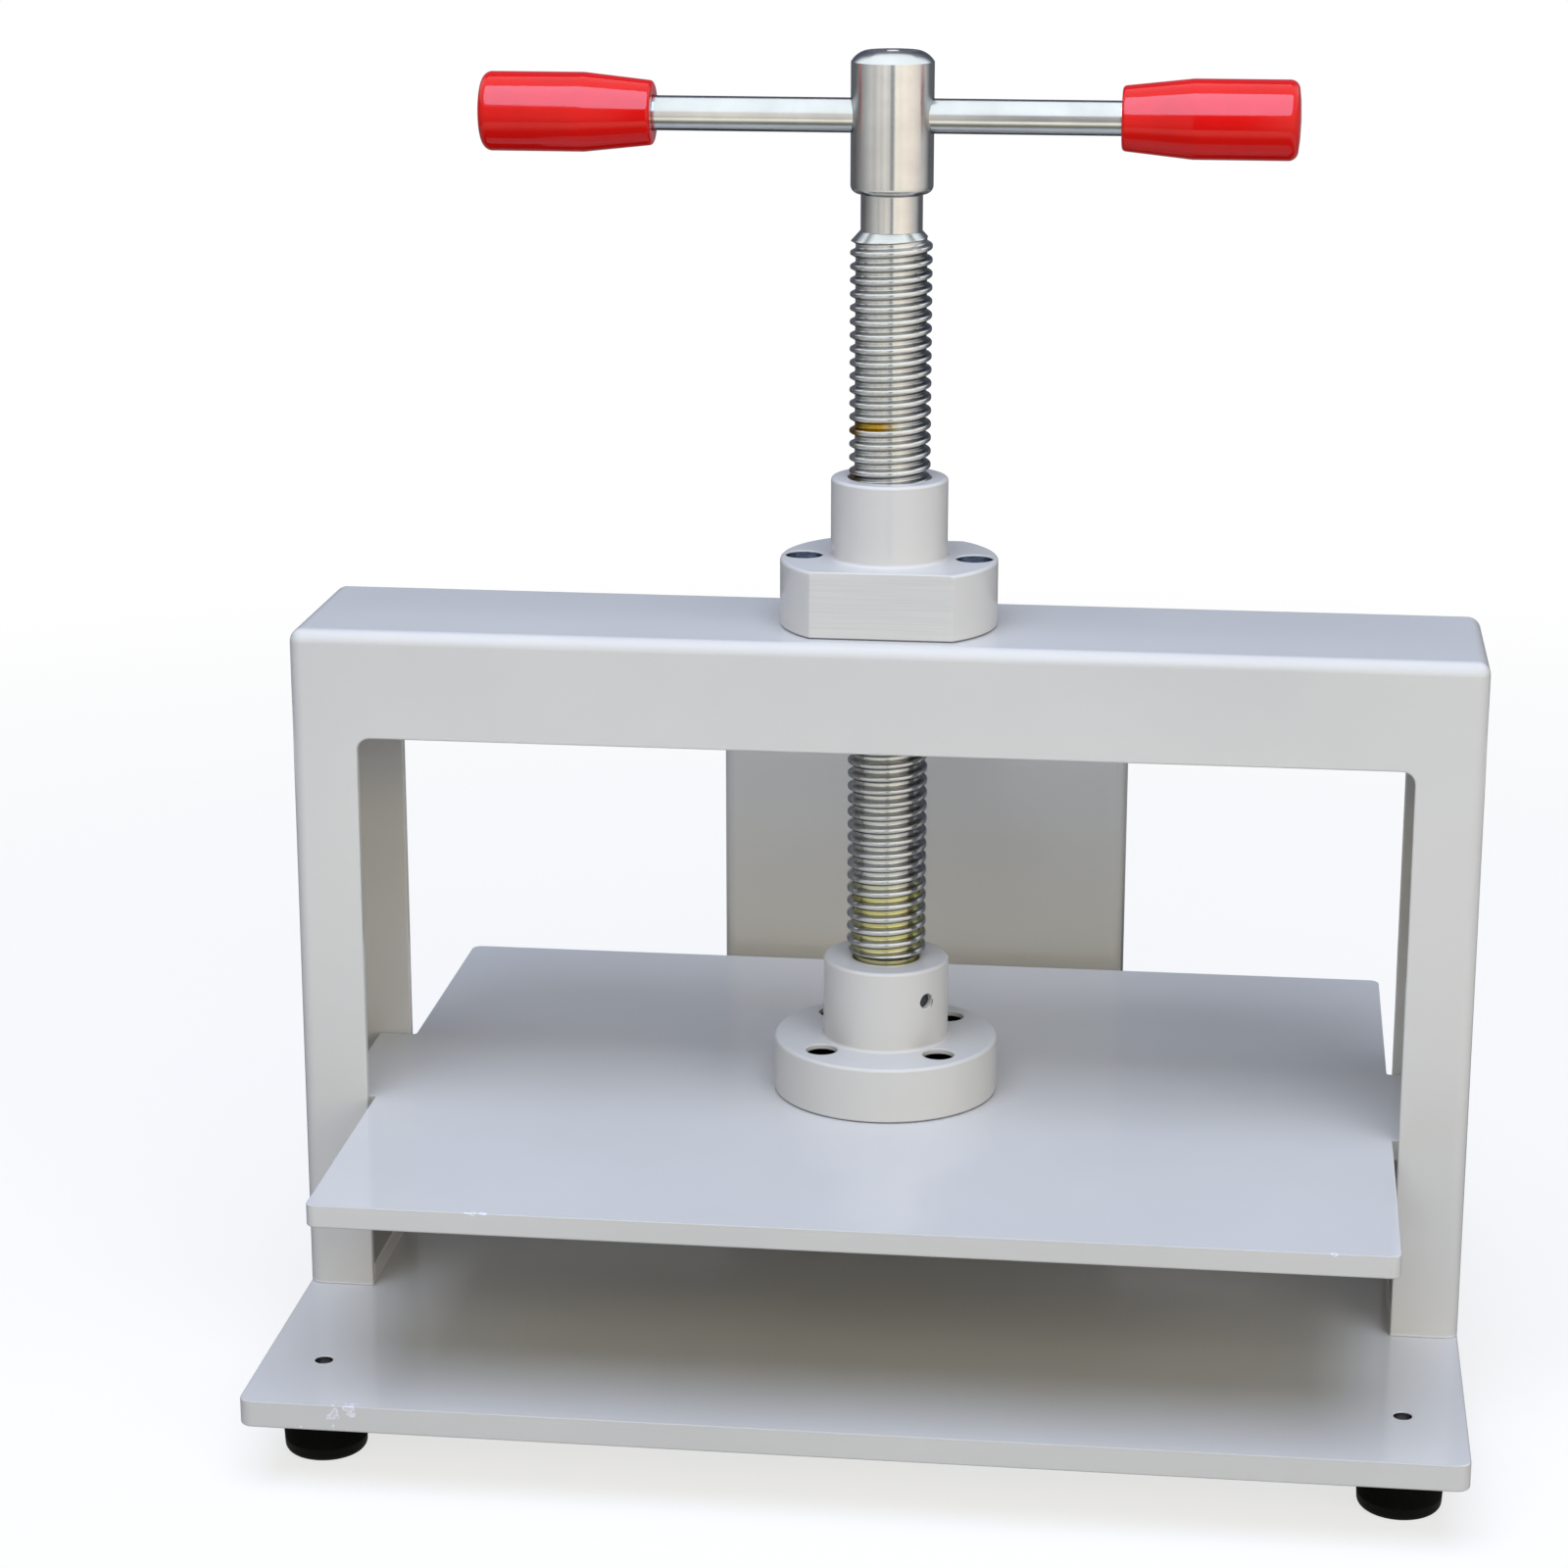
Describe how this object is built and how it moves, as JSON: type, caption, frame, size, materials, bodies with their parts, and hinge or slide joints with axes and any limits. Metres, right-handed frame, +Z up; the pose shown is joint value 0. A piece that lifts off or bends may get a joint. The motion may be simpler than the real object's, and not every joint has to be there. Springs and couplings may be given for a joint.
{
  "type": "copying press",
  "caption": "Bench copying press: folded steel portal on a base plate, with a threaded screw and bar handle that drive a guided flat platen down on paper.",
  "frame": {"origin": "on the floor, under the middle of the base plate", "axes": "+Z up along the screw, +X to the right along the beam, +Y to the back"},
  "size_m": [0.35, 0.276, 0.4018],
  "materials": {
    "grey_paint": "satin light grey powder coat",
    "bright_steel": "turned bright steel",
    "zinc_steel": "zinc-plated",
    "bronze": "plain bronze",
    "red_plastic": "glossy moulded red",
    "rubber": "matt black"
  },
  "bodies": {
    "press_body": {"base_plate": "grey_paint", "rubber_foot_front_left": "rubber", "rubber_foot_front_right": "rubber", "rubber_foot_rear_left": "rubber", "rubber_foot_rear_right": "rubber", "foot_screws": "zinc_steel", "foot_washers": "zinc_steel", "gantry_frame": "grey_paint", "upright_foot_left": "grey_paint", "upright_foot_right": "grey_paint", "frame_screws": "zinc_steel", "beam_stiffener": "grey_paint", "screw_nut": "grey_paint", "nut_screws": "zinc_steel", "back_stop": "grey_paint", "back_stop_screws": "zinc_steel"},
    "platen_body": {"platen": "grey_paint", "platen_collar": "grey_paint", "collar_screws": "zinc_steel", "collar_set_screw": "zinc_steel", "thrust_washer": "bronze"},
    "screw_body": {"press_screw": "bright_steel", "handle_bar": "bright_steel", "bar_grub_screw": "zinc_steel", "grip_left": "red_plastic", "grip_right": "red_plastic"}
  },
  "joints": [
    {"name": "platen_slide", "type": "slide", "parent": "press_body", "child": "platen_body", "axis": [0, 0, 1], "range_m": [-0.0482, 0.0902]},
    {"name": "screw_turn", "type": "hinge", "parent": "platen_body", "child": "screw_body", "pos_m": [0, -0.0195, 0.3], "axis": [0, 0, 1], "range_deg": [-4320, 8100]}
  ],
  "couplings": [
    {"joint": "platen_slide", "follows": "screw_turn", "m_per_rad": 0.00063662}
  ]
}
